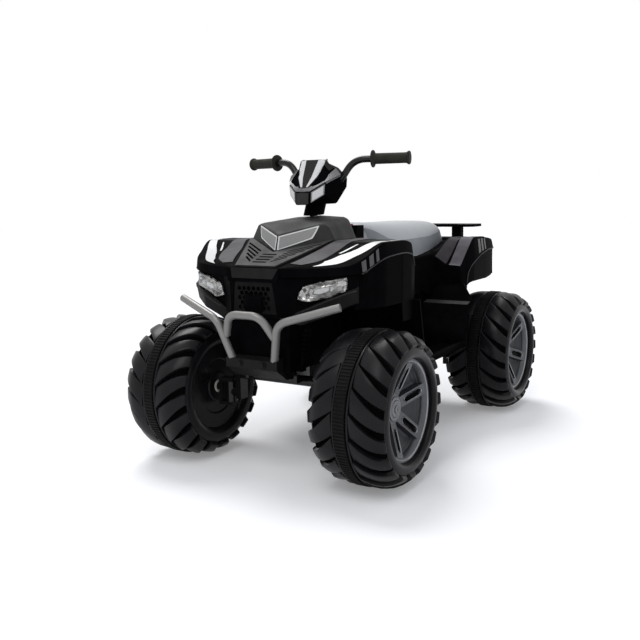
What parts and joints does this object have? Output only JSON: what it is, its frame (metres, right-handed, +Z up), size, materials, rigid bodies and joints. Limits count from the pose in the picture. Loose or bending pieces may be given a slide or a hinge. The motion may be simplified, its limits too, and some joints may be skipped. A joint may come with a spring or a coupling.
{
  "type": "kids quad bike",
  "caption": "Battery-driven ride-on quad bike for a child: faceted body, saddle, raked handlebar with pod, bull bar, rear rack and wide lugged wheels.",
  "frame": {"origin": "on the ground in the middle of the four wheels' box", "axes": "+Z up, -Y towards the front, +X towards the rider's left"},
  "size_m": [0.623, 0.994, 0.663],
  "materials": {
    "tyre_black": "satin moulded",
    "band_rubber": "matt",
    "rim_grey": "satin metallic grey",
    "cap_grey": "satin metallic grey",
    "body_black": "semi-gloss moulded",
    "dark_grey": "matt moulded",
    "silver_trim": "silver",
    "clear_lens": "clear moulded",
    "reflector": "mirror",
    "steel": "zinc plated",
    "bumper_grey": "satin grey",
    "bar_black": "gloss black",
    "grip": "matt",
    "seat_silver": "satin silver grey",
    "red_lens": "clear red",
    "nylon": "natural",
    "battery_case": "matt",
    "motor_can": "plain",
    "switch_red": "gloss",
    "switch_black": "gloss",
    "axle_steel": "plain"
  },
  "bodies": {
    "chassis": {"chassis_tub": "body_black", "front_beam": "bar_black", "front_cowl": "body_black", "hood_vent": "dark_grey", "hood_scoop": "dark_grey", "scoop_trim": "silver_trim", "front_fascia": "body_black", "headlamp_lenses": "clear_lens", "headlamp_reflectors": "reflector", "nose_grille": "body_black", "bull_bar": "bumper_grey", "front_skid": "body_black", "seat": "seat_silver", "rear_cowl": "body_black", "rear_rack": "body_black", "tail_lamps": "red_lens", "gearboxes": "battery_case", "drive_motors": "motor_can", "rear_axle": "axle_steel", "fasteners": "steel", "switch_panel": "body_black", "battery": "battery_case", "control_box": "battery_case"},
    "steering": {"steering_column": "axle_steel", "handlebar": "bar_black", "handlebar_grips": "grip", "instrument_pod": "body_black", "pod_lamps": "silver_trim", "steering_neck": "body_black"},
    "horn": {"horn_button": "switch_red"},
    "tie_rod": {"tie_rod": "steel"},
    "pedal": {"accelerator_pedal": "dark_grey"},
    "power_switch": {"power_button": "switch_red"},
    "direction_switch": {"direction_rocker": "switch_black"},
    "knuckle_left": {"steering_knuckle_left": "axle_steel", "axle_nut_front_left": "steel"},
    "wheel_front_left": {"tyre_front_left": "tyre_black", "traction_band_front_left": "band_rubber", "wheel_cover_front_left": "rim_grey", "hub_cap_front_left": "cap_grey", "wheel_bushes_front_left": "nylon"},
    "wheel_rear_left": {"tyre_rear_left": "tyre_black", "traction_band_rear_left": "band_rubber", "wheel_cover_rear_left": "rim_grey", "hub_cap_rear_left": "cap_grey", "drive_gear_left": "nylon"},
    "pinion_left": {"motor_pinion_left": "axle_steel"},
    "knuckle_right": {"steering_knuckle_right": "axle_steel", "axle_nut_front_right": "steel"},
    "wheel_front_right": {"tyre_front_right": "tyre_black", "traction_band_front_right": "band_rubber", "wheel_cover_front_right": "rim_grey", "hub_cap_front_right": "cap_grey", "wheel_bushes_front_right": "nylon"},
    "wheel_rear_right": {"tyre_rear_right": "tyre_black", "traction_band_rear_right": "band_rubber", "wheel_cover_rear_right": "rim_grey", "hub_cap_rear_right": "cap_grey", "drive_gear_right": "nylon"},
    "pinion_right": {"motor_pinion_right": "axle_steel"}
  },
  "joints": [
    {"name": "steer", "type": "hinge", "parent": "chassis", "child": "steering", "pos_m": [0, -0.33854, 0.19727], "axis": [0, 0.4067, 0.9135], "range_deg": [-20, 20]},
    {"name": "horn_push", "type": "slide", "parent": "steering", "child": "horn", "axis": [0, -0.9806, 0.1961], "range_m": [0, 0.003], "stiffness_N_per_m": 600, "springref_m": -0.003},
    {"name": "pedal_press", "type": "hinge", "parent": "chassis", "child": "pedal", "pos_m": [-0.175, 0.02, 0.21], "axis": [1, 0, 0], "range_deg": [0, 12], "stiffness_Nm_per_rad": 4, "springref_deg": -5.73},
    {"name": "power_push", "type": "slide", "parent": "chassis", "child": "power_switch", "axis": [0, 0, -1], "range_m": [0, 0.003], "stiffness_N_per_m": 600, "springref_m": -0.003},
    {"name": "direction_rock", "type": "hinge", "parent": "chassis", "child": "direction_switch", "pos_m": [-0.031, -0.089, 0.496], "axis": [1, 0, 0], "range_deg": [-8, 8]},
    {"name": "kingpin_left", "type": "hinge", "parent": "chassis", "child": "knuckle_left", "pos_m": [0.128, -0.342, 0.155], "axis": [0, 0, 1], "range_deg": [-20, 20]},
    {"name": "front_left_spin", "type": "hinge", "parent": "knuckle_left", "child": "wheel_front_left", "pos_m": [0.2295, -0.342, 0.155], "axis": [1, 0, 0], "continuous": true},
    {"name": "rear_left_spin", "type": "hinge", "parent": "chassis", "child": "wheel_rear_left", "pos_m": [0.2295, 0.342, 0.155], "axis": [1, 0, 0], "continuous": true},
    {"name": "pinion_left_spin", "type": "hinge", "parent": "chassis", "child": "pinion_left", "pos_m": [0.118, 0.29825, 0.155], "axis": [1, 0, 0], "continuous": true},
    {"name": "kingpin_right", "type": "hinge", "parent": "chassis", "child": "knuckle_right", "pos_m": [-0.128, -0.342, 0.155], "axis": [0, 0, 1], "range_deg": [-20, 20]},
    {"name": "front_right_spin", "type": "hinge", "parent": "knuckle_right", "child": "wheel_front_right", "pos_m": [-0.2295, -0.342, 0.155], "axis": [1, 0, 0], "continuous": true},
    {"name": "rear_right_spin", "type": "hinge", "parent": "chassis", "child": "wheel_rear_right", "pos_m": [-0.2295, 0.342, 0.155], "axis": [1, 0, 0], "continuous": true},
    {"name": "pinion_right_spin", "type": "hinge", "parent": "chassis", "child": "pinion_right", "pos_m": [-0.118, 0.29825, 0.155], "axis": [1, 0, 0], "continuous": true},
    {"name": "tie_rod_swing", "type": "hinge", "parent": "knuckle_left", "child": "tie_rod", "pos_m": [0.128, -0.302, 0.181], "axis": [0, 0, 1], "range_deg": [-20, 20]}
  ],
  "couplings": [
    {"joint": "kingpin_left", "follows": "steer", "ratio": 1},
    {"joint": "pinion_left_spin", "follows": "rear_left_spin", "ratio": -4},
    {"joint": "kingpin_right", "follows": "steer", "ratio": 1},
    {"joint": "pinion_right_spin", "follows": "rear_right_spin", "ratio": -4},
    {"joint": "tie_rod_swing", "follows": "steer", "ratio": -1}
  ]
}
